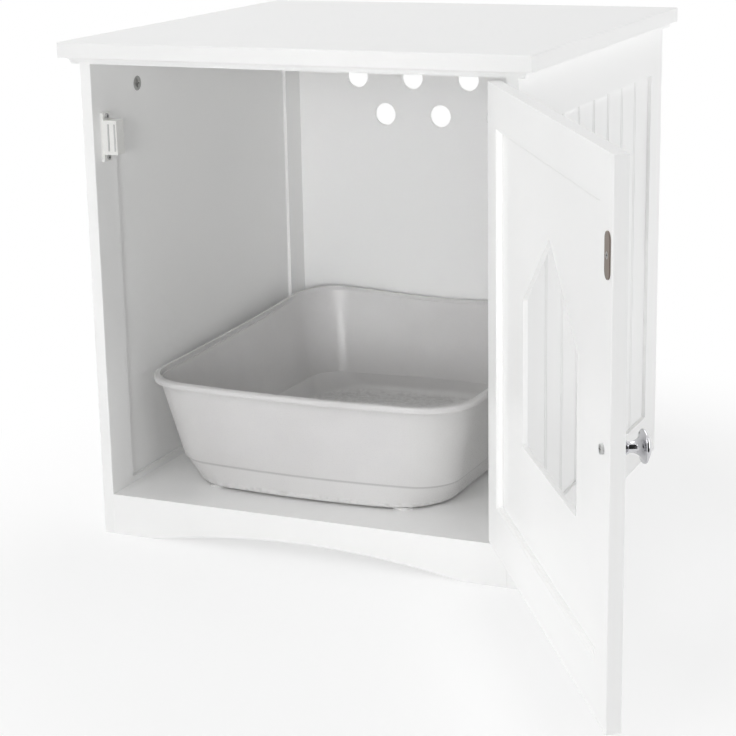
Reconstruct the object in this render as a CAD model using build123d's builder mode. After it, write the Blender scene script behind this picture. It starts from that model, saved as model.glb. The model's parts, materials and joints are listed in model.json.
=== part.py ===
from build123d import *
from math import cos, pi
import os

# Litter box enclosure. X to the right, Y to the back, Z up, in millimetres.
# The origin is on the floor, at the middle of the back face.

# Overall sizes
cabinet_height = 510.0
top_width = 490.0
top_depth = 490.0
side_overhang = 16.5
front_overhang = 13.0
board = 12.0
edge_round = 1.0

# Edge of the top
fascia_height = 15.0
cove_ledge = 1.2
cove_run = 9.0
cove_drop = 4.5
cove_sagitta = 1.8
lip_drop = 2.0
top_edge_radius = 1.5

# Side frames
side_stile = 42.0
side_top_rail = 49.0
side_bottom_rail = 50.0
side_panel = 4.0
side_planks = 8

# Grooves that hold the panels
groove_depth = 6.0
groove_side_clearance = 0.1
groove_end_clearance = 0.5

# Beads on the panels: two round quirks with a strip between them
bead_width = 5.0
quirk_radius = 1.1

# Back panel and its vents
back_thickness = 4.0
back_rabbet = 6.0
back_clearance = 0.3
vent_diameter = 26.0
vent_pitch = 70.0
vent_upper_count = 5
vent_lower_count = 4
vent_drop = 65.5
vent_row_drop = 43.5

# Floor panel and apron
floor_top = 43.0
floor_thickness = 12.0
floor_dado = 4.0
floor_clearance = 0.2
apron_foot = 47.0
arch_rise = 16.0

# Cam locks, their bolts and the dowels
cam_diameter = 15.0
cam_length = 10.0
cam_end_margin = 90.0
cam_drop = 30.0
cam_clearance = 0.15
cam_pocket_radius = 4.2
cam_pocket_length = 7.0
cam_slit = 5.0
cam_turn = 180.0
cam_slit_spare = 70.0
cross_length = 9.0
cross_width = 1.6
cross_depth = 2.0
bolt_shank = 4.0
bolt_head = 6.4
bolt_head_height = 3.0
bolt_thread = 5.0
bolt_thread_length = 10.0
bolt_bore = 7.0
dowel_diameter = 6.0
dowel_length = 24.0
dowel_end_margin = 140.0
apron_dowel_reach = 6.0
fastener_clearance = 0.1

# Nails in the back
nail_shank = 1.6
nail_head = 4.5
nail_head_height = 0.8
nail_length = 16.0
nail_count = 5
nail_end_margin = 30.0

# Door
door_stile = 38.0
door_top_rail = 40.0
door_bottom_rail = 46.0
door_panel = 4.5
door_inner_recess = 6.0
door_bevel = 2.0
door_planks = 7
door_gap_top = 2.0
door_gap_bottom = 8.0
door_gap_latch = 2.5
door_open_angle = 122.0

# Cat entry, a gable shape cut in the door panel
entry_width = 190.0
entry_above_middle = 11.25
entry_wall = 132.0
entry_gable = 72.0
entry_corner = 3.0

# Hinges
hinge_height = 38.0
hinge_inset = 78.0
hinge_leaf = 1.1
hinge_leaf_depth = 10.5
hinge_leaf_gap = 0.3
hinge_pin = 2.6
hinge_pin_clearance = 0.06
hinge_pin_forward = 3.2
knuckle_gap = 0.25
hinge_screw_spacing = 22.0
hinge_screw_shank = 2.4
hinge_screw_head = 4.6
hinge_screw_length = 9.0

# Magnetic catch and its strike
catch_drop = 75.0
catch_body_height = 34.0
catch_ear_height = 49.0
catch_ear_thickness = 3.0
catch_depth = 14.0
catch_protrusion = 18.0
catch_wall_to_poles = 12.0
pole_thickness = 1.5
pole_height = 27.0
pole_depth = 11.0
pole_protrusion = 0.5
magnet_thickness = 5.5
catch_web = 1.5
catch_fit = 0.1
catch_screw_shank = 2.6
catch_screw_head = 5.0
catch_screw_head_height = 1.6
catch_screw_length = 9.0
strike_width = 13.0
strike_length = 35.0
strike_thickness = 1.2
strike_inset = 11.5
strike_gap = 0.4
strike_screw_shank = 2.8
strike_screw_head = 5.6
strike_screw_length = 8.0

# Knob
knob_inset = 19.0
knob_diameter = 26.0
knob_base = 14.0
knob_neck = 9.0
knob_length = 24.0
knob_rim = 3.0
knob_crown = 4.0
knob_base_height = 3.0
knob_screw_shank = 4.0
knob_screw_head = 8.0
knob_screw_head_height = 2.4
knob_screw_grip = 12.0

# Litter tray
tray_left_gap = 12.0
tray_right_gap = 57.5
tray_front_gap = 12.5
tray_back_gap = 5.0
tray_height = 117.0
tray_side_bow = 3.0
tray_end_bow = 12.0
tray_corner = 56.0
tray_corner_ease = 0.5
tray_wall = 3.0
tray_wall_inset = 3.9
tray_step_height = 27.5
tray_step_inset = 24.0
tray_step = 1.0
tray_base_side_inset = 36.0
tray_base_end_inset = 24.5
tray_base_corner = 65.0
tray_base_round = 2.8
tray_inner_round = 10.0
tray_foot_height = 2.2
tray_foot_diameter = 22.0
tray_foot_side_inset = 42.0
tray_foot_end_inset = 20.0

# Rim of the tray, which rises to the rear corners
rim_corner_rise = 13.0
rim_middle_dip = 0.7
rim_spare = 0.1
rim_steps = 5
bead_thickness = 5.5
bead_height = 7.0
bead_round = 2.4
bead_skin = 1.7
ledge_drop = 4.5

# Worked out from the sizes above
top_thickness = fascia_height + cove_drop + lip_drop
side_height = cabinet_height - top_thickness
outer_half = top_width / 2 - side_overhang
inner_half = outer_half - board
front_y = -(top_depth - front_overhang)
apron_back = front_y + board
back_inner = -back_thickness
floor_bottom = floor_top - floor_thickness
side_groove = side_panel + 2 * groove_side_clearance
door_groove = door_panel + 2 * groove_side_clearance
tongue = groove_depth - groove_end_clearance

opening_front = front_y + side_stile
opening_back = -side_stile
opening_depth = opening_back - opening_front
opening_mid_y = (opening_front + opening_back) / 2
panel_bottom = side_bottom_rail
panel_top = side_height - side_top_rail

door_gap_hinge = 2 * hinge_leaf + hinge_leaf_gap
door_left = -inner_half + door_gap_latch
door_right = inner_half - door_gap_hinge
door_mid_x = (door_left + door_right) / 2
door_bottom = floor_top + door_gap_bottom
door_top = side_height - door_gap_top
door_mid_z = (door_bottom + door_top) / 2
door_back = front_y + board
field_left = door_left + door_stile
field_right = door_right - door_stile
field_width = field_right - field_left
field_bottom = door_bottom + door_bottom_rail
field_top = door_top - door_top_rail
door_panel_back = door_back - door_inner_recess
door_panel_mid = door_panel_back - door_panel / 2
field_mid_z = (field_bottom + field_top) / 2
entry_sill = field_mid_z + entry_above_middle - (entry_wall + entry_gable) / 2

pin_x = inner_half - door_gap_hinge / 2
pin_y = front_y - hinge_pin_forward
pin_radius = hinge_pin / 2
knuckle_radius = pin_radius + hinge_pin_clearance + hinge_leaf
hinge_heights = {"upper": door_top - hinge_inset, "lower": door_bottom + hinge_inset}

cam_height = side_height - cam_drop
cam_places = {"front": front_y + cam_end_margin, "rear": -cam_end_margin}
dowel_places = (front_y + dowel_end_margin, -dowel_end_margin)
sides = {"left": -1, "right": 1}

nail_x = inner_half + back_rabbet / 2
nail_lowest = floor_top + nail_end_margin
nail_step = (side_height - nail_end_margin - nail_lowest) / (nail_count - 1)
nail_heights = [nail_lowest + nail_step * n for n in range(nail_count)]

vent_upper_height = side_height - vent_drop

catch_height = side_height - catch_drop
strike_x = door_left + strike_inset
catch_face = door_back + strike_thickness + strike_gap + pole_protrusion
poles_x = -inner_half + catch_wall_to_poles
pole_spacing = magnet_thickness + pole_thickness
knob_x = door_left + knob_inset

tray_width = 2 * inner_half - tray_left_gap - tray_right_gap
tray_rear = back_inner - tray_back_gap
tray_depth = tray_rear - door_back - tray_front_gap
tray_mid_x = (tray_left_gap - tray_right_gap) / 2
tray_mid_y = tray_rear - tray_depth / 2
tray_base = floor_top + tray_foot_height
tray_rim = floor_top + tray_height
tray_draft = (tray_step_inset - tray_wall_inset) / (tray_height - tray_step_height)
base_width = tray_width - 2 * tray_base_side_inset
base_depth = tray_depth - 2 * tray_base_end_inset


def save(part, name):
    part.label = name
    export_step(part, f"parts/{name}.step")


def hang(part):
    """Turn a door piece from its closed place to the open one."""
    return part.rotate(Axis((pin_x, pin_y, 0), (0, 0, 1)), door_open_angle)


def middle_of_side(sign):
    return sign * (inner_half + board / 2)


# Top

def edge_profile(reach, sign):
    """One moulded edge, from the upper corner down to the underside."""
    ledge = (sign * (reach - cove_ledge), side_height + lip_drop + cove_drop)
    foot = (sign * (reach - cove_run), side_height + lip_drop)
    return (
        (sign * reach, cabinet_height),
        (sign * reach, cabinet_height - fascia_height),
        ledge,
        foot,
        (sign * (reach - cove_run), side_height),
    )


def make_top():
    right = edge_profile(top_width / 2, 1)
    left = edge_profile(top_width / 2, -1)
    front = edge_profile(top_depth, -1)
    with BuildPart() as top_panel:
        with BuildSketch(Plane.XZ):
            with BuildLine():
                Polyline(left[2], left[1], left[0], right[0], right[1], right[2])
                SagittaArc(right[2], right[3], -cove_sagitta)
                Polyline(right[3], right[4], left[4], left[3])
                SagittaArc(left[3], left[2], -cove_sagitta)
            make_face()
        extrude(amount=top_depth)
        with BuildSketch(Plane.YZ):
            with BuildLine():
                Polyline(front[2], front[1], front[0], (0, cabinet_height))
                Polyline((0, cabinet_height), (0, side_height), front[4], front[3])
                SagittaArc(front[3], front[2], -cove_sagitta)
            make_face()
        extrude(amount=top_width / 2, both=True, mode=Mode.INTERSECT)
        rim = top_panel.faces().sort_by(Axis.Z)[-1].edges()
        fillet(rim, radius=top_edge_radius)
        for sign in sides.values():
            for y in cam_places.values():
                with Locations((middle_of_side(sign), y, side_height + bolt_thread_length / 2)):
                    Cylinder(bolt_thread / 2 + fastener_clearance, bolt_thread_length, mode=Mode.SUBTRACT)
            for y in dowel_places:
                with Locations((middle_of_side(sign), y, side_height)):
                    Cylinder(dowel_diameter / 2 + fastener_clearance, dowel_length, mode=Mode.SUBTRACT)
    return top_panel.part


# Side frames

def cut_floor_dado(sign):
    """The slot in the side's inner face that takes the floor's edge."""
    depth = back_inner - apron_back
    with Locations((sign * inner_half, apron_back + depth / 2, floor_bottom + floor_thickness / 2)):
        Box(2 * floor_dado, depth, floor_thickness, mode=Mode.SUBTRACT)


def make_front_stile(sign):
    with BuildPart() as front_stile:
        with Locations((middle_of_side(sign), front_y + side_stile / 2, side_height / 2)):
            Box(board, side_stile, side_height)
        fillet(front_stile.edges().filter_by(Axis.Z).group_by(Axis.Y)[0], radius=edge_round)
        with Locations((middle_of_side(sign), opening_front - groove_depth / 2, side_height / 2)):
            Box(side_groove, groove_depth, side_height, mode=Mode.SUBTRACT)
        cut_floor_dado(sign)
        with Locations((sign * inner_half, front_y + board / 2, floor_top / 2)):
            Cylinder(
                dowel_diameter / 2 + fastener_clearance,
                apron_dowel_reach * 2,
                rotation=(0, 90, 0),
                mode=Mode.SUBTRACT,
            )
        if sign > 0:
            for z in hinge_heights.values():
                with Locations(*frame_screw_places(z)):
                    Cylinder(
                        hinge_screw_shank / 2 + fastener_clearance,
                        2 * hinge_screw_length,
                        rotation=(0, 90, 0),
                        mode=Mode.SUBTRACT,
                    )
        else:
            with Locations(*catch_screw_places()):
                Cylinder(
                    catch_screw_shank / 2 + fastener_clearance,
                    2 * catch_screw_length,
                    rotation=(0, 90, 0),
                    mode=Mode.SUBTRACT,
                )
    return front_stile.part


def make_rear_stile(sign):
    with BuildPart() as rear_stile:
        with Locations((middle_of_side(sign), -side_stile / 2, side_height / 2)):
            Box(board, side_stile, side_height)
        with Locations((middle_of_side(sign), opening_back + groove_depth / 2, side_height / 2)):
            Box(side_groove, groove_depth, side_height, mode=Mode.SUBTRACT)
        with Locations((sign * inner_half, -back_thickness / 2, side_height / 2)):
            Box(2 * back_rabbet, back_thickness, side_height, mode=Mode.SUBTRACT)
        cut_floor_dado(sign)
        with Locations(*[(sign * nail_x, 0, z) for z in nail_heights]):
            Cylinder(
                nail_shank / 2 + fastener_clearance,
                2 * nail_length,
                rotation=(90, 0, 0),
                mode=Mode.SUBTRACT,
            )
    return rear_stile.part


def make_rail(sign, bottom, height, groove_z):
    """A rail with a tongue at each end and a groove along the edge that faces the panel."""
    with BuildPart() as rail:
        with Locations((middle_of_side(sign), opening_mid_y, bottom + height / 2)):
            Box(board, opening_depth, height)
            Box(side_panel, opening_depth + 2 * tongue, height)
        with Locations((middle_of_side(sign), opening_mid_y, groove_z)):
            Box(side_groove, opening_depth + 2 * tongue, groove_depth, mode=Mode.SUBTRACT)
    return rail.part


def make_bottom_rail(sign):
    blank = make_rail(sign, 0, side_bottom_rail, panel_bottom - groove_depth / 2)
    with BuildPart() as bottom_rail:
        add(blank)
        cut_floor_dado(sign)
    return bottom_rail.part


def make_top_rail(sign):
    blank = make_rail(sign, panel_top, side_top_rail, panel_top + groove_depth / 2)
    with BuildPart() as top_rail:
        add(blank)
        for y in cam_places.values():
            with Locations((sign * inner_half, y, cam_height)):
                Cylinder(
                    cam_diameter / 2 + cam_clearance,
                    2 * (cam_length + cam_clearance),
                    rotation=(0, 90, 0),
                    mode=Mode.SUBTRACT,
                )
            with Locations((middle_of_side(sign), y, side_height - cam_drop / 2)):
                Cylinder(bolt_bore / 2, cam_drop, mode=Mode.SUBTRACT)
        for y in dowel_places:
            with Locations((middle_of_side(sign), y, side_height)):
                Cylinder(dowel_diameter / 2 + fastener_clearance, dowel_length, mode=Mode.SUBTRACT)
    return top_rail.part


def make_side_panel(sign):
    """A floating panel with planks marked by beads on its outer face."""
    pitch = opening_depth / side_planks
    face_x = middle_of_side(sign) + sign * side_panel / 2
    with BuildPart() as bead_panel:
        with BuildSketch(Plane.XY.offset(panel_bottom - tongue)):
            with Locations((middle_of_side(sign), opening_mid_y)):
                Rectangle(side_panel, opening_depth + 2 * tongue)
            for edge in (-bead_width / 2, bead_width / 2):
                with Locations((face_x, opening_mid_y + edge)):
                    with GridLocations(0, pitch, 1, side_planks - 1):
                        Circle(quirk_radius, mode=Mode.SUBTRACT)
        extrude(amount=panel_top - panel_bottom + 2 * tongue)
    return bead_panel.part


# Back, floor and apron

def make_back():
    with BuildPart() as back_panel:
        with Locations((0, -back_thickness / 2, side_height / 2)):
            Box(2 * (inner_half + back_rabbet - back_clearance), back_thickness, side_height)
        with BuildSketch(Plane.XZ):
            with Locations((0, vent_upper_height)):
                with GridLocations(vent_pitch, 0, vent_upper_count, 1):
                    Circle(vent_diameter / 2)
            with Locations((0, vent_upper_height - vent_row_drop)):
                with GridLocations(vent_pitch, 0, vent_lower_count, 1):
                    Circle(vent_diameter / 2)
        extrude(amount=back_thickness, mode=Mode.SUBTRACT)
        for sign in sides.values():
            for z in nail_heights:
                with Locations((sign * nail_x, -back_thickness / 2, z)):
                    Cylinder(
                        nail_shank / 2 + fastener_clearance,
                        back_thickness,
                        rotation=(90, 0, 0),
                        mode=Mode.SUBTRACT,
                    )
                with Locations((sign * nail_x, 0, z)):
                    Cylinder(
                        nail_head / 2 + fastener_clearance,
                        2 * nail_head_height,
                        rotation=(90, 0, 0),
                        mode=Mode.SUBTRACT,
                    )
    return back_panel.part


def make_nails():
    with BuildPart() as back_nails:
        for sign in sides.values():
            for z in nail_heights:
                with Locations((sign * nail_x, -nail_length / 2, z)):
                    Cylinder(nail_shank / 2, nail_length, rotation=(90, 0, 0))
                with Locations((sign * nail_x, -nail_head_height / 2, z)):
                    Cylinder(nail_head / 2, nail_head_height, rotation=(90, 0, 0))
    return back_nails.part


def make_floor():
    depth = back_inner - apron_back
    with BuildPart() as floor_panel:
        with Locations((0, apron_back + depth / 2, floor_bottom + floor_thickness / 2)):
            Box(2 * (inner_half + floor_dado - floor_clearance), depth, floor_thickness)
    return floor_panel.part


def make_apron():
    arch_half = inner_half - apron_foot
    with BuildPart() as front_apron:
        with BuildSketch(Plane.XZ.offset(-front_y - board)):
            with BuildLine():
                Polyline(
                    (-arch_half, 0),
                    (-inner_half, 0),
                    (-inner_half, floor_top),
                    (inner_half, floor_top),
                    (inner_half, 0),
                    (arch_half, 0),
                )
                ThreePointArc((arch_half, 0), (0, arch_rise), (-arch_half, 0))
            make_face()
        extrude(amount=board)
        for sign in sides.values():
            with Locations((sign * inner_half, front_y + board / 2, floor_top / 2)):
                Cylinder(
                    dowel_diameter / 2 + fastener_clearance,
                    2 * (dowel_length - apron_dowel_reach),
                    rotation=(0, 90, 0),
                    mode=Mode.SUBTRACT,
                )
    return front_apron.part


# Fasteners of the cabinet

def make_dowels():
    with BuildPart() as top_dowels:
        for sign in sides.values():
            for y in dowel_places:
                with Locations((middle_of_side(sign), y, side_height)):
                    Cylinder(dowel_diameter / 2, dowel_length - 2 * fastener_clearance)
    return top_dowels.part


def make_apron_dowels():
    with BuildPart() as apron_dowels:
        for sign in sides.values():
            mid_x = sign * (inner_half + apron_dowel_reach - dowel_length / 2)
            with Locations((mid_x, front_y + board / 2, floor_top / 2)):
                Cylinder(dowel_diameter / 2, dowel_length - 2 * fastener_clearance, rotation=(0, 90, 0))
    return apron_dowels.part


def make_cam(sign, y):
    """A cam with a pocket for the bolt's head, a slit for its shank and a cross in its face."""
    face_x = sign * inner_half
    mid_x = middle_of_side(sign)
    slit_plane = Plane((mid_x, y, cam_height), x_dir=(0, 1, 0), z_dir=(1, 0, 0))
    with BuildPart() as cam:
        with Locations((face_x + sign * cam_length / 2, y, cam_height)):
            Cylinder(cam_diameter / 2, cam_length, rotation=(0, 90, 0))
        with Locations((mid_x, y, cam_height)):
            Cylinder(cam_pocket_radius, cam_pocket_length, rotation=(0, 90, 0), mode=Mode.SUBTRACT)
        with BuildSketch(slit_plane):
            with BuildLine():
                rim = CenterArc((0, 0), cam_diameter, 90 - cam_slit_spare / 2, cam_turn + cam_slit_spare)
                Line((0, 0), rim @ 0)
                Line(rim @ 1, (0, 0))
            make_face()
        extrude(amount=cam_slit / 2, both=True, mode=Mode.SUBTRACT)
        with Locations((face_x, y, cam_height)):
            Box(2 * cross_depth, cross_length, cross_width, mode=Mode.SUBTRACT)
            Box(2 * cross_depth, cross_width, cross_length, mode=Mode.SUBTRACT)
    return cam.part


def make_cam_bolts():
    shank_length = cam_drop - bolt_head_height / 2
    with BuildPart() as cam_bolts:
        for sign in sides.values():
            for y in cam_places.values():
                x = middle_of_side(sign)
                with Locations((x, y, cam_height)):
                    Cylinder(bolt_head / 2, bolt_head_height)
                with Locations((x, y, side_height - shank_length / 2)):
                    Cylinder(bolt_shank / 2, shank_length)
                with Locations((x, y, side_height + (bolt_thread_length - fastener_clearance) / 2)):
                    Cylinder(bolt_thread / 2, bolt_thread_length - fastener_clearance)
    return cam_bolts.part


# Hinges

def frame_screw_places(z):
    y = front_y + hinge_leaf_depth / 2
    return [(inner_half, y, z + step) for step in (-hinge_screw_spacing / 2, hinge_screw_spacing / 2)]


def door_screw_places(z):
    y = front_y + hinge_leaf_depth / 2
    return [(door_right, y, z + step) for step in (-hinge_screw_spacing / 2, hinge_screw_spacing / 2)]


def make_leaf(z, face_x, places, own, others):
    """A hinge leaf: a plate from the pin back along the wall, with its own knuckles round the pin."""
    third = hinge_height / 3
    plate_depth = hinge_leaf_depth + hinge_pin_forward
    relief = knuckle_radius + knuckle_gap
    with BuildPart() as leaf:
        with Locations((face_x, pin_y + plate_depth / 2, z)):
            Box(hinge_leaf, plate_depth, hinge_height)
        for step in others:
            with Locations((pin_x, pin_y, z + step * third)):
                Cylinder(relief, third + 2 * knuckle_gap, mode=Mode.SUBTRACT)
        for step in own:
            with Locations((pin_x, pin_y, z + step * third)):
                Cylinder(knuckle_radius, third - knuckle_gap)
        with Locations((pin_x, pin_y, z)):
            Cylinder(pin_radius + hinge_pin_clearance, hinge_height, mode=Mode.SUBTRACT)
        with Locations(*[(face_x, y, height) for _, y, height in places]):
            Cylinder(
                hinge_screw_head / 2 + fastener_clearance,
                hinge_leaf,
                rotation=(0, 90, 0),
                mode=Mode.SUBTRACT,
            )
    return leaf.part


def make_frame_leaf(z):
    return make_leaf(z, inner_half - hinge_leaf / 2, frame_screw_places(z), (-1, 1), (0,))


def make_door_leaf(z):
    return make_leaf(z, door_right + hinge_leaf / 2, door_screw_places(z), (0,), (-1, 1))


def make_pin(z):
    with BuildPart() as pin:
        with Locations((pin_x, pin_y, z)):
            Cylinder(pin_radius, hinge_height)
    return pin.part


def make_hinge_screws(places_of, face_sign):
    """Flat-headed screws whose heads fill the leaf's holes."""
    with BuildPart() as screws:
        for z in hinge_heights.values():
            for x, y, height in places_of(z):
                with Locations((x - face_sign * hinge_leaf / 2, y, height)):
                    Cylinder(hinge_screw_head / 2, hinge_leaf, rotation=(0, 90, 0))
                with Locations((x + face_sign * hinge_screw_length / 2, y, height)):
                    Cylinder(hinge_screw_shank / 2, hinge_screw_length, rotation=(0, 90, 0))
    return screws.part


# Magnetic catch

def catch_screw_places():
    reach = (catch_body_height + catch_ear_height) / 4
    y = catch_face + catch_depth / 2
    return [(-inner_half, y, catch_height + step) for step in (-reach, reach)]


def make_catch_housing():
    """A white block on two ears, open behind, with a slot in its face for each pole plate."""
    cavity = magnet_thickness + 2 * pole_thickness + 2 * catch_fit
    pole_slot = pole_thickness + 2 * catch_fit
    with BuildPart() as catch_housing:
        with Locations((-inner_half + catch_protrusion / 2, catch_face + catch_depth / 2, catch_height)):
            Box(catch_protrusion, catch_depth, catch_body_height)
        with Locations((-inner_half + catch_ear_thickness / 2, catch_face + catch_depth / 2, catch_height)):
            Box(catch_ear_thickness, catch_depth, catch_ear_height)
        with Locations((poles_x, catch_face + (catch_web + catch_depth) / 2, catch_height)):
            Box(cavity, catch_depth - catch_web, pole_height + 2 * catch_fit, mode=Mode.SUBTRACT)
        with Locations((poles_x, catch_face + catch_web / 2, catch_height)):
            with GridLocations(pole_spacing, 0, 2, 1):
                Box(pole_slot, catch_web, pole_height + 2 * catch_fit, mode=Mode.SUBTRACT)
        with Locations(*catch_screw_places()):
            Cylinder(
                catch_screw_shank / 2 + fastener_clearance,
                4 * catch_ear_thickness,
                rotation=(0, 90, 0),
                mode=Mode.SUBTRACT,
            )
    return catch_housing.part


def make_pole_plates():
    with BuildPart() as pole_plates:
        with Locations((poles_x, catch_face + (pole_depth - pole_protrusion) / 2, catch_height)):
            with GridLocations(pole_spacing, 0, 2, 1):
                Box(pole_thickness, pole_depth + pole_protrusion, pole_height)
    return pole_plates.part


def make_magnet():
    depth = pole_depth - catch_web
    with BuildPart() as magnet:
        with Locations((poles_x, catch_face + catch_web + depth / 2, catch_height)):
            Box(magnet_thickness, depth, pole_height)
    return magnet.part


def make_catch_screws():
    with BuildPart() as catch_screws:
        for x, y, z in catch_screw_places():
            with Locations((x + catch_ear_thickness + catch_screw_head_height / 2, y, z)):
                Cylinder(catch_screw_head / 2, catch_screw_head_height, rotation=(0, 90, 0))
            with Locations((x + catch_ear_thickness - catch_screw_length / 2, y, z)):
                Cylinder(catch_screw_shank / 2, catch_screw_length, rotation=(0, 90, 0))
    return catch_screws.part


# Door, modelled closed and hung open

def make_field_bevel():
    """What is cut away to slope the inner edge of the door's frame."""
    with BuildPart() as bevel:
        with BuildSketch(Plane.XZ.offset(-door_back)):
            with Locations((door_mid_x, field_mid_z)):
                Rectangle(field_width + 2 * door_bevel, field_top - field_bottom + 2 * door_bevel)
        extrude(amount=door_bevel, taper=45)
    return bevel.part


def make_door_stile(left, groove_x, outer):
    """A stile whose outer edge is the first or the last along X, as the index says."""
    bevel = make_field_bevel()
    with BuildPart() as stile:
        with Locations((left + door_stile / 2, front_y + board / 2, door_mid_z)):
            Box(door_stile, board, door_top - door_bottom)
        fillet(stile.edges().filter_by(Axis.Z).group_by(Axis.X)[outer], radius=edge_round)
        with Locations((groove_x, door_panel_mid, door_mid_z)):
            Box(groove_depth, door_groove, door_top - door_bottom, mode=Mode.SUBTRACT)
        add(bevel, mode=Mode.SUBTRACT)
    return stile.part


def make_hinge_stile():
    blank = make_door_stile(field_right, field_right + groove_depth / 2, -1)
    with BuildPart() as hinge_stile:
        add(blank)
        for z in hinge_heights.values():
            with Locations(*door_screw_places(z)):
                Cylinder(
                    hinge_screw_shank / 2 + fastener_clearance,
                    2 * hinge_screw_length,
                    rotation=(0, 90, 0),
                    mode=Mode.SUBTRACT,
                )
    return hinge_stile.part


def make_latch_stile():
    blank = make_door_stile(door_left, field_left - groove_depth / 2, 0)
    with BuildPart() as latch_stile:
        add(blank)
        with Locations((knob_x, front_y + board / 2, door_mid_z)):
            Cylinder(
                knob_screw_shank / 2 + fastener_clearance,
                board,
                rotation=(90, 0, 0),
                mode=Mode.SUBTRACT,
            )
        with Locations((strike_x, door_back, catch_height)):
            Cylinder(
                strike_screw_shank / 2 + fastener_clearance,
                2 * strike_screw_length,
                rotation=(90, 0, 0),
                mode=Mode.SUBTRACT,
            )
    return latch_stile.part


def make_door_rail(bottom, height, groove_z):
    bevel = make_field_bevel()
    with BuildPart() as rail:
        with Locations((door_mid_x, front_y + board / 2, bottom + height / 2)):
            Box(field_width, board, height)
        with Locations((door_mid_x, door_panel_mid, bottom + height / 2)):
            Box(field_width + 2 * tongue, door_panel, height)
        with Locations((door_mid_x, door_panel_mid, groove_z)):
            Box(field_width + 2 * tongue, door_groove, groove_depth, mode=Mode.SUBTRACT)
        add(bevel, mode=Mode.SUBTRACT)
    return rail.part


def make_door_panel():
    """The beaded panel, with the cat entry cut through it."""
    pitch = field_width / door_planks
    face_y = door_panel_mid - door_panel / 2
    half = entry_width / 2
    entry_plane = Plane((door_mid_x, door_panel_mid, entry_sill), x_dir=(1, 0, 0), z_dir=(0, -1, 0))
    with BuildPart() as door_panel_piece:
        with BuildSketch(Plane.XY.offset(field_bottom - tongue)):
            with Locations((door_mid_x, door_panel_mid)):
                Rectangle(field_width + 2 * tongue, door_panel)
            for edge in (-bead_width / 2, bead_width / 2):
                with Locations((door_mid_x + edge, face_y)):
                    with GridLocations(pitch, 0, door_planks - 1, 1):
                        Circle(quirk_radius, mode=Mode.SUBTRACT)
        extrude(amount=field_top - field_bottom + 2 * tongue)
        with BuildSketch(entry_plane):
            with BuildLine():
                Polyline(
                    (-half, 0),
                    (half, 0),
                    (half, entry_wall),
                    (0, entry_wall + entry_gable),
                    (-half, entry_wall),
                    close=True,
                )
            outline = make_face()
            fillet(outline.vertices(), radius=entry_corner)
        extrude(amount=board, both=True, mode=Mode.SUBTRACT)
    return door_panel_piece.part


def make_strike():
    with BuildPart() as strike_plate:
        with BuildSketch(Plane.XZ.offset(-door_back)):
            with Locations((strike_x, catch_height)):
                SlotOverall(strike_length, strike_width, rotation=90)
                Circle(strike_screw_head / 2 + fastener_clearance, mode=Mode.SUBTRACT)
        extrude(amount=-strike_thickness)
    return strike_plate.part


def make_strike_screw():
    with BuildPart() as strike_screw:
        with Locations((strike_x, door_back + strike_thickness / 2, catch_height)):
            Cylinder(strike_screw_head / 2, strike_thickness, rotation=(90, 0, 0))
        with Locations((strike_x, door_back - strike_screw_length / 2, catch_height)):
            Cylinder(strike_screw_shank / 2, strike_screw_length, rotation=(90, 0, 0))
    return strike_screw.part


def make_knob():
    """A turned mushroom knob, revolved about its screw."""
    base = (knob_base / 2, knob_base_height)
    neck_y = (knob_base_height + knob_length - knob_crown - knob_rim) / 2
    brim = (knob_diameter - knob_rim) / 2
    under = (brim, knob_length - knob_crown - knob_rim)
    over = (brim, knob_length - knob_crown)
    crown_radius = (brim**2 + knob_crown**2) / (2 * knob_crown)
    crown_mid = (brim / 2, knob_length - crown_radius + (crown_radius**2 - brim**2 / 4) ** 0.5)
    bore = knob_screw_shank / 2 + fastener_clearance
    centre = (knob_x, front_y, door_mid_z)
    with BuildPart() as knob:
        with BuildSketch(Plane(centre, x_dir=(1, 0, 0), z_dir=(0, 0, -1))):
            with BuildLine():
                Polyline((0, knob_screw_grip), (bore, knob_screw_grip), (bore, 0), (knob_base / 2, 0), base)
                ThreePointArc(base, (knob_neck / 2, neck_y), under)
                ThreePointArc(under, (knob_diameter / 2, (under[1] + over[1]) / 2), over)
                ThreePointArc(over, crown_mid, (0, knob_length))
                Line((0, knob_length), (0, knob_screw_grip))
            make_face()
        revolve(axis=Axis(centre, (0, 1, 0)))
    return knob.part


def make_knob_screw():
    length = board + knob_screw_grip - 2 * fastener_clearance
    with BuildPart() as knob_screw:
        with Locations((knob_x, door_back + knob_screw_head_height / 2, door_mid_z)):
            Cylinder(knob_screw_head / 2, knob_screw_head_height, rotation=(90, 0, 0))
        with Locations((knob_x, door_back - length / 2, door_mid_z)):
            Cylinder(knob_screw_shank / 2, length, rotation=(90, 0, 0))
    return knob_screw.part


# Litter tray

def tray_outline(inset):
    return tray_width - 2 * inset, tray_depth - 2 * inset, tray_corner - tray_corner_ease * inset


def tray_level(height, width, depth, corner):
    """A level outline of the tray: four bowed sides between rounded corners."""
    x = width / 2 - tray_side_bow
    y = depth / 2 - tray_end_bow
    with BuildSketch(Plane((tray_mid_x, tray_mid_y, height))) as level:
        with BuildLine():
            ThreePointArc((-x, -y), (0, -depth / 2), (x, -y))
            ThreePointArc((x, -y), (width / 2, 0), (x, y))
            ThreePointArc((x, y), (0, depth / 2), (-x, y))
            ThreePointArc((-x, y), (-width / 2, 0), (-x, -y))
        outline = make_face()
        fillet(outline.vertices(), radius=corner)
    return level.sketch


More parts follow.
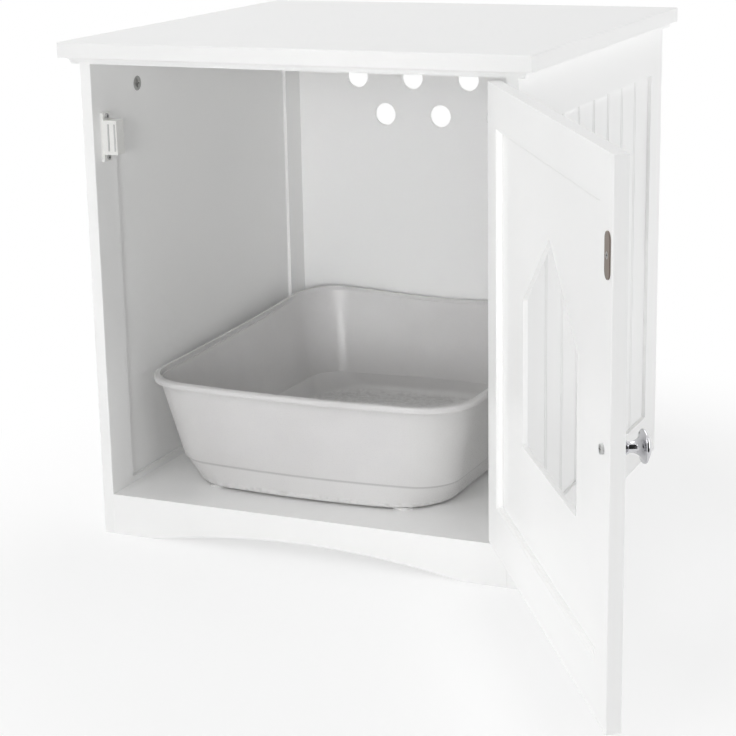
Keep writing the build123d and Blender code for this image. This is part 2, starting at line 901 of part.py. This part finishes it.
def make_tray_form(wall, bottom_round):
    """The tray as a solid, drawn in by a wall's thickness: a tapered base, a step and drafted sides."""
    step_level = floor_top + tray_step_height
    top = tray_rim + 2 * rim_corner_rise
    top_inset = tray_wall_inset - tray_draft * (top - tray_rim)
    base = tray_level(tray_base + wall, base_width - 2 * wall, base_depth - 2 * wall, tray_base_corner - wall)
    under_step = tray_level(step_level, *tray_outline(tray_step_inset + tray_step + wall))
    over_step = tray_level(step_level, *tray_outline(tray_step_inset + wall))
    mouth = tray_level(top, *tray_outline(top_inset + wall))
    with BuildPart() as form:
        loft([base, under_step], ruled=True)
        fillet(form.faces().sort_by(Axis.Z)[0].edges(), radius=bottom_round)
        loft([over_step, mouth], ruled=True)
    return form.part


def rim_point(across, along):
    """A point of the rim's curved top: -1 to 1 from left to right, and 0 to 1 from front to rear."""
    dip = rim_middle_dip * cos(across * pi / 2) ** 2
    rise = rim_corner_rise * along**3 * (1 - dip)
    return Vector(
        tray_mid_x + across * tray_width / 2,
        tray_rear + (along - 1) * tray_depth,
        tray_rim + rise,
    )


def make_rim_plate(inset, top_drop, bottom_drop):
    """A plate that follows the rim's top between two depths below it, trimmed to an outline."""
    spread = [(1 + rim_spare) * step / rim_steps for step in range(-rim_steps, rim_steps + 1)]
    grid = [[rim_point(across, (along + 1) / 2) for along in spread] for across in spread]
    surface = Face.make_surface_from_array_of_points(grid).moved(Location((0, 0, -top_drop)))
    outline = tray_level(floor_top, *tray_outline(inset))
    with BuildPart() as plate:
        extrude(outline, amount=2 * tray_height)
        extrude(surface, amount=bottom_drop - top_drop, dir=(0, 0, -1), mode=Mode.INTERSECT)
    return plate.part


def make_bead():
    """The rolled rim, rounded above and hollow beneath."""
    blank = make_rim_plate(0, 0, bead_height)
    mouth = make_rim_plate(bead_thickness, -bead_height, 2 * bead_height)
    hollow = make_rim_plate(bead_skin, bead_skin, 2 * bead_height)
    inner_skin = make_rim_plate(bead_thickness - bead_skin, 0, 2 * bead_height)
    with BuildPart() as groove:
        add(hollow)
        add(inner_skin, mode=Mode.SUBTRACT)
    with BuildPart() as bead:
        add(blank)
        add(mouth, mode=Mode.SUBTRACT)
        fillet(bead.faces().sort_by(Axis.Z)[-1].edges(), radius=bead_round)
        add(groove.part, mode=Mode.SUBTRACT)
    return bead.part


def make_tray():
    """A moulded shell on four feet, whose walls end in a ledge inside the rolled rim."""
    outside = make_tray_form(0, tray_base_round)
    inside = make_tray_form(tray_wall, tray_inner_round)
    below_ledge = make_rim_plate(0, ledge_drop, 2 * tray_height)
    bead = make_bead()
    feet_across = base_width - 2 * tray_foot_side_inset
    feet_along = base_depth - 2 * tray_foot_end_inset
    with BuildPart() as tray:
        add(outside)
        add(inside, mode=Mode.SUBTRACT)
        add(below_ledge, mode=Mode.INTERSECT)
        add(bead)
        with BuildSketch(Plane((tray_mid_x, tray_mid_y, floor_top))):
            with GridLocations(feet_across, feet_along, 2, 2):
                Circle(tray_foot_diameter / 2)
        extrude(amount=tray_foot_height)
    return tray.part


def make_cabinet():
    save(make_top(), "top_panel")
    for side, sign in sides.items():
        save(make_front_stile(sign), f"{side}_front_stile")
        save(make_rear_stile(sign), f"{side}_rear_stile")
        save(make_top_rail(sign), f"{side}_top_rail")
        save(make_bottom_rail(sign), f"{side}_bottom_rail")
        save(make_side_panel(sign), f"{side}_bead_panel")
        for end, y in cam_places.items():
            save(make_cam(sign, y), f"{side}_{end}_cam")
    save(make_back(), "back_panel")
    save(make_nails(), "back_nails")
    save(make_floor(), "floor_panel")
    save(make_apron(), "front_apron")
    save(make_dowels(), "top_dowels")
    save(make_apron_dowels(), "apron_dowels")
    save(make_cam_bolts(), "cam_bolts")
    save(make_catch_housing(), "catch_housing")
    save(make_pole_plates(), "catch_pole_plates")
    save(make_magnet(), "catch_magnet")
    save(make_catch_screws(), "catch_screws")


def make_hinges():
    for place, z in hinge_heights.items():
        save(make_frame_leaf(z), f"{place}_hinge_frame_leaf")
        save(make_pin(z), f"{place}_hinge_pin")
        save(hang(make_door_leaf(z)), f"{place}_hinge_door_leaf")
    save(make_hinge_screws(frame_screw_places, 1), "frame_hinge_screws")
    save(hang(make_hinge_screws(door_screw_places, -1)), "door_hinge_screws")


def make_door():
    save(hang(make_hinge_stile()), "door_hinge_stile")
    save(hang(make_latch_stile()), "door_latch_stile")
    top_rail = make_door_rail(field_top, door_top_rail, field_top + groove_depth / 2)
    bottom_rail = make_door_rail(door_bottom, door_bottom_rail, field_bottom - groove_depth / 2)
    save(hang(top_rail), "door_top_rail")
    save(hang(bottom_rail), "door_bottom_rail")
    save(hang(make_door_panel()), "door_bead_panel")
    save(hang(make_strike()), "strike_plate")
    save(hang(make_strike_screw()), "strike_screw")
    save(hang(make_knob()), "knob")
    save(hang(make_knob_screw()), "knob_screw")


os.makedirs("parts", exist_ok=True)
make_cabinet()
make_hinges()
make_door()
save(make_tray(), "litter_tray")
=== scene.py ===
import bpy
import json
import math
from mathutils import Matrix, Vector


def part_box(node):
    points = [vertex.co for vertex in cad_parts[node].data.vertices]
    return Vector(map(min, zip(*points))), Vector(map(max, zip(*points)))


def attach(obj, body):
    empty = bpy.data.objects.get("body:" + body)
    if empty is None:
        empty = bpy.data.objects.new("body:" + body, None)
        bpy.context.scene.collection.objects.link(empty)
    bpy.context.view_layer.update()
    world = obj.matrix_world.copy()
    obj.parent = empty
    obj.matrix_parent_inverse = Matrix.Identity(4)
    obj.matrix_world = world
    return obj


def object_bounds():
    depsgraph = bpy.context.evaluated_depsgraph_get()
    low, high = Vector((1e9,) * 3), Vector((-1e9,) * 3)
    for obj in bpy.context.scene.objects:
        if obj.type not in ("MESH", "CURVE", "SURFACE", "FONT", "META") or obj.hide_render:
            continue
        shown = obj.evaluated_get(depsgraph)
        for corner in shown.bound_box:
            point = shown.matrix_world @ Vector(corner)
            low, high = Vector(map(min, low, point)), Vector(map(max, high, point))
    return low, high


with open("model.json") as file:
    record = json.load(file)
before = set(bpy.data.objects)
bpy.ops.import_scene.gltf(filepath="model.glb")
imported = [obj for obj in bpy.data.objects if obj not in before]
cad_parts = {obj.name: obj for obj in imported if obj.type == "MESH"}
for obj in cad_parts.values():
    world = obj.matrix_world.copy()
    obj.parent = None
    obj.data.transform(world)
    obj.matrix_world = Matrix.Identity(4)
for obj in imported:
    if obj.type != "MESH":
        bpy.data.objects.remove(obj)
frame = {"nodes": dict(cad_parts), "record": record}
cad_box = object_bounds()

# Camera, fitted to the photograph
image_width = 736
focal_pixels = 1987.44
sensor_width = 36.0
camera_place = Vector((0.8215, -2.16151, 0.70602))
camera_yaw = math.radians(23.88)
camera_pitch = math.radians(15.19)
camera_roll = math.radians(-1.09)

# Light: name, place, point that it faces, size, power and spread in degrees
object_middle = (0.0, -0.24, 0.27)
inside_middle = (-0.05, -0.12, 0.24)
lamps = (
    ("front", (1.7, -6.9, 1.1), object_middle, 1.6, 112.0, 180),
    ("front_high", (-0.8, -5.6, 4.2), object_middle, 2.2, 64.0, 180),
    ("near_high", (-0.3, -2.2, 2.4), object_middle, 1.6, 10.0, 180),
    ("top", (-0.3, 0.4, 3.0), object_middle, 2.6, 33.0, 180),
    ("right", (2.9, 0.3, 0.9), object_middle, 1.8, 36.5, 180),
    ("left", (-2.9, -0.6, 1.0), object_middle, 1.8, 42.0, 180),
    ("gridded", (0.68, -3.1, 0.67), inside_middle, 0.4, 0.095, 11),
)
sky_strength = 0.06
light_bounces = 10

# Floor, whose fade is measured in half sizes of the object
floor_size = 14.0
floor_white = 0.97
fade_start = 0.9
fade_end = 1.9
white_share = 0.66
matte_roughness = 0.9

# Dark card for reflections
flag_place = (0.9, -1.19, 0.45)
flag_size = 1.4
flag_grey = 0.01

# Noise values between which a colour or roughness changes
noise_low = 0.3
noise_high = 0.7

# Sockets of a colour mix, which share their names with other sockets
mix_factor = 0
mix_first = 6
mix_second = 7
mix_result = 2

# Pebbles of the tray, which also lighten its inside floor as painted light, and a line of painted shade under
# its step, with heights in metres above its lowest point
pebble_scale = 150.0
pebble_top = 0.0085
pebble_full = 0.0065
# Painted light: a middle below the noise's own lifts the inside floor's colour as a whole, besides giving its
# pebbles
pebble_middle_and_painted_light = 0.45
pebble_and_painted_light_tint = 3.0
grain_relief = 0.03
# Painted shade: a band of the tray's colour made darker just under its step, outside only
painted_shade_top = 0.0278
painted_shade_width = 0.0036
painted_shade_grey = 0.7

# Plain materials: slot, low and high colour, metallic, low and high roughness, scale and stretch of the grain
even = (1.0, 1.0, 1.0)
upright = (1.0, 1.0, 0.06)
plain_looks = (
    ("white_catch_plastic", (0.82, 0.82, 0.8), (0.86, 0.86, 0.84), 0, (0.35, 0.5), 600, even),
    ("steel", (0.5, 0.5, 0.5), (0.6, 0.6, 0.6), 1, (0.25, 0.4), 900, upright),
    ("bronzed_steel", (0.2, 0.17, 0.15), (0.28, 0.24, 0.21), 1, (0.4, 0.55), 700, upright),
    ("cast_zinc", (0.45, 0.45, 0.44), (0.55, 0.55, 0.54), 1, (0.4, 0.6), 800, even),
    ("knob_chrome", (0.55, 0.55, 0.57), (0.62, 0.62, 0.64), 1, (0.04, 0.09), 200, even),
    ("ferrite", (0.02, 0.02, 0.02), (0.04, 0.04, 0.04), 0, (0.6, 0.8), 900, even),
    ("bare_beech", (0.5, 0.33, 0.18), (0.6, 0.42, 0.25), 0, (0.5, 0.7), 300, upright),
    # Painted shade: near-black for the flat strips that stand in for the shaded hollows of cross recesses
    ("painted_recess_shade", (0.03, 0.03, 0.03), (0.06, 0.06, 0.06), 0, (0.6, 0.8), 900, even),
)

# Cross recesses in screw heads, drawn as near-black strips of painted shade, in metres
knob_recess = 0.005
strike_recess = 0.0034
catch_recess = 0.003
recess_width = 0.0009
recess_lift = 0.00004
recess_apart = 0.01


def make_camera():
    forward = Vector((
        -math.sin(camera_yaw) * math.cos(camera_pitch),
        math.cos(camera_yaw) * math.cos(camera_pitch),
        -math.sin(camera_pitch),
    ))
    right = Vector((math.cos(camera_yaw), math.sin(camera_yaw), 0.0))
    up = right.cross(forward)
    rolled_right = math.cos(camera_roll) * right + math.sin(camera_roll) * up
    rolled_up = math.cos(camera_roll) * up - math.sin(camera_roll) * right
    data = bpy.data.cameras.new("camera")
    data.sensor_width = sensor_width
    data.lens = focal_pixels * sensor_width / image_width
    camera = bpy.data.objects.new("camera", data)
    turn = Matrix((rolled_right, rolled_up, -forward)).transposed()
    camera.matrix_world = Matrix.Translation(camera_place) @ turn.to_4x4()
    bpy.context.scene.collection.objects.link(camera)
    bpy.context.scene.camera = camera


def facing(place, target, axis):
    """A transform that moves to a place and turns the axis to the target."""
    aim = (Vector(target) - Vector(place)).to_track_quat(axis, "Y")
    return Matrix.Translation(place) @ aim.to_matrix().to_4x4()


def make_lamp(name, place, target, size, power, spread):
    data = bpy.data.lights.new(name, "AREA")
    data.size = size
    data.energy = power
    data.spread = math.radians(spread)
    lamp = bpy.data.objects.new(name, data)
    lamp.matrix_world = facing(place, target, "-Z")
    bpy.context.scene.collection.objects.link(lamp)


def start_material(name):
    material = bpy.data.materials.new(name)
    material.use_nodes = True
    nodes, links = material.node_tree.nodes, material.node_tree.links
    return material, nodes, links, nodes["Principled BSDF"]


def combine(nodes, links, operation, first, second):
    """One step of arithmetic on two outputs, or on an output and a number."""
    node = nodes.new("ShaderNodeMath")
    node.operation = operation
    links.new(first, node.inputs[0])
    if isinstance(second, float):
        node.inputs[1].default_value = second
    else:
        links.new(second, node.inputs[1])
    return node.outputs[0]


def add_range(nodes, links, value, start, end, low=0.0, high=1.0, curve="LINEAR"):
    """A change from low to high while the value goes from start to end."""
    span = nodes.new("ShaderNodeMapRange")
    span.interpolation_type = curve
    span.inputs["From Min"].default_value = start
    span.inputs["From Max"].default_value = end
    span.inputs["To Min"].default_value = low
    span.inputs["To Max"].default_value = high
    links.new(value, span.inputs["Value"])
    return span.outputs["Result"]


def add_noise(nodes, links, scale, detail, stretch=even):
    place = nodes.new("ShaderNodeTexCoord")
    mapping = nodes.new("ShaderNodeMapping")
    mapping.inputs["Scale"].default_value = stretch
    noise = nodes.new("ShaderNodeTexNoise")
    noise.inputs["Scale"].default_value = scale
    noise.inputs["Detail"].default_value = detail
    links.new(place.outputs["Object"], mapping.inputs["Vector"])
    links.new(mapping.outputs["Vector"], noise.inputs["Vector"])
    return noise.outputs["Fac"]


def tint(nodes, links, factor, low, high, socket):
    ramp = nodes.new("ShaderNodeValToRGB")
    first, last = ramp.color_ramp.elements
    first.position = noise_low
    first.color = (*low, 1.0)
    last.position = noise_high
    last.color = (*high, 1.0)
    links.new(factor, ramp.inputs["Fac"])
    links.new(ramp.outputs["Color"], socket)


def vary(nodes, links, factor, low, high, socket):
    links.new(add_range(nodes, links, factor, noise_low, noise_high, low, high), socket)


def roughen(nodes, links, factor, strength, depth, shader):
    bump = nodes.new("ShaderNodeBump")
    bump.inputs["Strength"].default_value = strength
    bump.inputs["Distance"].default_value = depth
    links.new(factor, bump.inputs["Height"])
    links.new(bump.outputs["Normal"], shader.inputs["Normal"])


def seen_ray(nodes, links):
    """One where the camera, a reflection or glass looks, and nought where light bounces."""
    rays = nodes.new("ShaderNodeLightPath").outputs
    direct = combine(nodes, links, "MAXIMUM", rays["Is Camera Ray"], rays["Is Glossy Ray"])
    return combine(nodes, links, "MAXIMUM", direct, rays["Is Transmission Ray"])


def make_world():
    """A white background that gives little light."""
    world = bpy.data.worlds.new("studio")
    world.use_nodes = True
    nodes, links = world.node_tree.nodes, world.node_tree.links
    background = nodes["Background"]
    background.inputs["Color"].default_value = (1.0, 1.0, 1.0, 1.0)
    strength = add_range(nodes, links, seen_ray(nodes, links), 0.0, 1.0, low=sky_strength)
    links.new(strength, background.inputs["Strength"])
    bpy.context.scene.world = world


def make_square(name, size):
    half = size / 2
    mesh = bpy.data.meshes.new(name)
    corners = [(-half, -half, 0), (half, -half, 0), (half, half, 0), (-half, half, 0)]
    mesh.from_pydata(corners, [], [(0, 1, 2, 3)])
    square = bpy.data.objects.new(name, mesh)
    bpy.context.scene.collection.objects.link(square)
    return square


def make_matte(name, grey):
    material, nodes, links, shader = start_material(name)
    shader.inputs["Base Color"].default_value = (grey, grey, grey, 1.0)
    shader.inputs["Roughness"].default_value = matte_roughness
    return material, nodes, links, shader


def make_floor():
    """A pale floor that keeps the shadow and fades to the white of the background further out."""
    floor = make_square("studio_floor", floor_size)
    material, nodes, links, shader = make_matte("studio_floor", floor_white)
    low, high = cad_box
    place = nodes.new("ShaderNodeTexCoord")
    mapping = nodes.new("ShaderNodeMapping")
    mapping.vector_type = "TEXTURE"
    mapping.inputs["Location"].default_value = ((low.x + high.x) / 2, (low.y + high.y) / 2, 0.0)
    mapping.inputs["Scale"].default_value = ((high.x - low.x) / 2, (high.y - low.y) / 2, 1.0)
    distance = nodes.new("ShaderNodeVectorMath")
    distance.operation = "LENGTH"
    links.new(place.outputs["Object"], mapping.inputs["Vector"])
    links.new(mapping.outputs["Vector"], distance.inputs[0])
    fade = add_range(
        nodes, links, distance.outputs["Value"], fade_start, fade_end, low=white_share, curve="SMOOTHSTEP"
    )
    share = combine(nodes, links, "MULTIPLY", fade, seen_ray(nodes, links))
    white = nodes.new("ShaderNodeEmission")
    mix = nodes.new("ShaderNodeMixShader")
    links.new(share, mix.inputs["Fac"])
    links.new(shader.outputs["BSDF"], mix.inputs[1])
    links.new(white.outputs["Emission"], mix.inputs[2])
    links.new(mix.outputs["Shader"], nodes["Material Output"].inputs["Surface"])
    floor.data.materials.append(material)


def make_flag():
    """A dark card in front of the knob, which only reflections show, so that chrome has its dark parts."""
    flag = make_square("dark_flag", flag_size)
    flag.matrix_world = facing(flag_place, object_middle, "Z")
    flag.visible_camera = False
    flag.visible_diffuse = False
    flag.visible_shadow = False
    flag.visible_transmission = False
    material, *_ = make_matte("dark_flag", flag_grey)
    flag.data.materials.append(material)


def make_lacquer():
    """Sprayed satin white: faint clouds, a fine orange peel and a thin clear coat."""
    material, nodes, links, shader = start_material("white_lacquer")
    clouds = add_noise(nodes, links, scale=6.0, detail=3.0)
    peel = add_noise(nodes, links, scale=420.0, detail=2.0)
    tint(nodes, links, clouds, (0.935, 0.937, 0.933), (0.95, 0.95, 0.946), shader.inputs["Base Color"])
    vary(nodes, links, clouds, 0.34, 0.46, shader.inputs["Roughness"])
    shader.inputs["Coat Weight"].default_value = 0.12
    shader.inputs["Coat Roughness"].default_value = 0.22
    roughen(nodes, links, peel, strength=0.1, depth=0.0002, shader=shader)
    return material


def make_backboard():
    """White film on hardboard, with the board's fibres just showing through."""
    material, nodes, links, shader = start_material("white_backboard")
    clouds = add_noise(nodes, links, scale=4.0, detail=3.0)
    fibres = add_noise(nodes, links, scale=260.0, detail=4.0, stretch=(1.0, 1.0, 0.25))
    tint(nodes, links, clouds, (0.93, 0.932, 0.927), (0.945, 0.945, 0.939), shader.inputs["Base Color"])
    vary(nodes, links, fibres, 0.42, 0.58, shader.inputs["Roughness"])
    roughen(nodes, links, fibres, strength=0.08, depth=0.0002, shader=shader)
    return material


def add_pebbles(nodes, links, height, bottom):
    """Pebbles on the tray's inside floor, centred a little above nought so that the floor's colour also comes
    out lighter as painted light, and nought above it.
    """
    pebbles = add_noise(nodes, links, scale=pebble_scale, detail=1.0)
    pebbles_and_painted_light = combine(nodes, links, "SUBTRACT", pebbles, pebble_middle_and_painted_light)
    on_floor = add_range(nodes, links, height, bottom + pebble_top, bottom + pebble_full)
    return combine(nodes, links, "MULTIPLY", pebbles_and_painted_light, on_floor)


def add_painted_shade(nodes, links, place, height, bottom, middle):
    """A line of painted shade that is one along the step outside the tray, and nought elsewhere."""
    end = bottom + painted_shade_top
    across = add_range(nodes, links, height, end - painted_shade_width, end, high=2.0)
    line = combine(nodes, links, "PINGPONG", across, 1.0)
    from_middle = nodes.new("ShaderNodeVectorMath")
    from_middle.operation = "SUBTRACT"
    from_middle.inputs[1].default_value = middle
    links.new(place.outputs["Object"], from_middle.inputs[0])
    outward = nodes.new("ShaderNodeVectorMath")
    outward.operation = "DOT_PRODUCT"
    links.new(from_middle.outputs["Vector"], outward.inputs[0])
    links.new(place.outputs["Normal"], outward.inputs[1])
    outside = combine(nodes, links, "GREATER_THAN", outward.outputs["Value"], 0.0)
    return combine(nodes, links, "MULTIPLY", outside, line)


def make_tray_plastic():
    """Satin grey moulding with a pebbled inside floor, made lighter as a whole by painted light, and a line
    of painted shade along its step.
    """
    material, nodes, links, shader = start_material("grey_tray_plastic")
    low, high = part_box("litter_tray")
    place = nodes.new("ShaderNodeTexCoord")
    axes = nodes.new("ShaderNodeSeparateXYZ")
    links.new(place.outputs["Object"], axes.inputs["Vector"])
    clouds = add_noise(nodes, links, scale=9.0, detail=3.0)
    grain = add_noise(nodes, links, scale=1400.0, detail=2.0)
    pebbles = add_pebbles(nodes, links, axes.outputs["Z"], low.z)
    fine = combine(nodes, links, "MULTIPLY", grain, grain_relief)
    relief = combine(nodes, links, "ADD", pebbles, fine)
    # Painted light: besides the pebbles' own tone, this lightens the inside floor as a whole
    pebble_spots_and_painted_light = combine(nodes, links, "MULTIPLY", pebbles, pebble_and_painted_light_tint)
    tone_and_painted_light = combine(nodes, links, "ADD", clouds, pebble_spots_and_painted_light)
    painted_shade = add_painted_shade(nodes, links, place, axes.outputs["Z"], low.z, (low + high) / 2)
    # Painted shade: the tray's colour is multiplied darker along the line under its step
    paint_shade = nodes.new("ShaderNodeMix")
    paint_shade.data_type = "RGBA"
    paint_shade.blend_type = "MULTIPLY"
    links.new(painted_shade, paint_shade.inputs[mix_factor])
    tint(nodes, links, tone_and_painted_light, (0.62, 0.613, 0.609), (0.69, 0.685, 0.682), paint_shade.inputs[mix_first])
    paint_shade.inputs[mix_second].default_value = (painted_shade_grey, painted_shade_grey, painted_shade_grey, 1.0)
    links.new(paint_shade.outputs[mix_result], shader.inputs["Base Color"])
    vary(nodes, links, grain, 0.26, 0.34, shader.inputs["Roughness"])
    roughen(nodes, links, relief, strength=0.8, depth=0.003, shader=shader)
    return material


def make_plain(name, low, high, metallic, rough, scale, stretch):
    material, nodes, links, shader = start_material(name)
    grain = add_noise(nodes, links, scale, detail=3.0, stretch=stretch)
    tint(nodes, links, grain, low, high, shader.inputs["Base Color"])
    shader.inputs["Metallic"].default_value = metallic
    vary(nodes, links, grain, *rough, shader.inputs["Roughness"])
    roughen(nodes, links, grain, strength=0.08, depth=0.0001, shader=shader)
    return material


def make_looks():
    looks = {
        "white_lacquer": make_lacquer(),
        "white_backboard": make_backboard(),
        "grey_tray_plastic": make_tray_plastic(),
    }
    for slot, *look in plain_looks:
        looks[slot] = make_plain(slot, *look)
    return looks


def dress_nodes(looks):
    for part in frame["record"]["subparts"]:
        node = frame["nodes"][part["node"]]
        node.data.materials.clear()
        node.data.materials.append(looks[part["material_slot"]])


def head_places(node, normal):
    """Middles of a node's one or two flat screw heads, which are its points furthest along the normal."""
    points = [vertex.co.copy() for vertex in frame["nodes"][node].data.vertices]
    furthest = max(point.dot(normal) for point in points)
    rim = [point for point in points if point.dot(normal) > furthest - recess_lift]
    middle = (max(point.z for point in rim) + min(point.z for point in rim)) / 2
    upper = [point for point in rim if point.z > middle]
    lower = [point for point in rim if point.z <= middle]
    if min(point.z for point in upper) - max(point.z for point in lower) < recess_apart:
        return [sum(rim, Vector()) / len(rim)]
    return [sum(group, Vector()) / len(group) for group in (upper, lower)]


def add_recess(name, centre, normal, span, body, material):
    """A cross recess on a screw head, as two thin crossing strips of near-black painted shade that stand in
    for the shaded hollow.
    """
    side = Vector((0.0, 0.0, 1.0)).cross(normal)
    up = normal.cross(side)
    points = []
    for along, across in ((side, up), (up, side)):
        for a, b in ((-1, -1), (1, -1), (1, 1), (-1, 1)):
            step = along * (a * span / 2) + across * (b * recess_width / 2)
            points.append(centre + normal * recess_lift + step)
    # Painted shade: flat dark strips just above the head, not a hollow
    mesh = bpy.data.meshes.new(name)
    mesh.from_pydata(points, [], [(0, 1, 2, 3), (4, 5, 6, 7)])
    mesh.materials.append(material)
    painted_recess_shade = bpy.data.objects.new(name, mesh)
    bpy.context.scene.collection.objects.link(painted_recess_shade)
    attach(painted_recess_shade, body)


def add_recesses(material):
    joints = frame["record"]["behaviour"]["joints"]
    swing = next(joint for joint in joints if joint["name"] == "door_swing")
    turn = Matrix.Rotation(-math.radians(swing["range_deg"][0]), 3, "Z")
    inside_of_door = turn @ Vector((0.0, 1.0, 0.0))
    away_from_wall = Vector((1.0, 0.0, 0.0))
    heads = (
        ("knob_screw", inside_of_door, knob_recess, "door"),
        ("strike_screw", inside_of_door, strike_recess, "door"),
        ("catch_screws", away_from_wall, catch_recess, "cabinet"),
    )
    for node, normal, span, body in heads:
        for number, centre in enumerate(head_places(node, normal)):
            add_recess(f"{node}_recess_{number}", centre, normal, span, body, material)


bpy.context.scene.view_settings.view_transform = "Standard"
bpy.context.scene.cycles.max_bounces = light_bounces
bpy.context.scene.cycles.diffuse_bounces = light_bounces
make_camera()
make_world()
for lamp in lamps:
    make_lamp(*lamp)
make_floor()
make_flag()
looks = make_looks()
dress_nodes(looks)
add_recesses(looks["painted_recess_shade"])
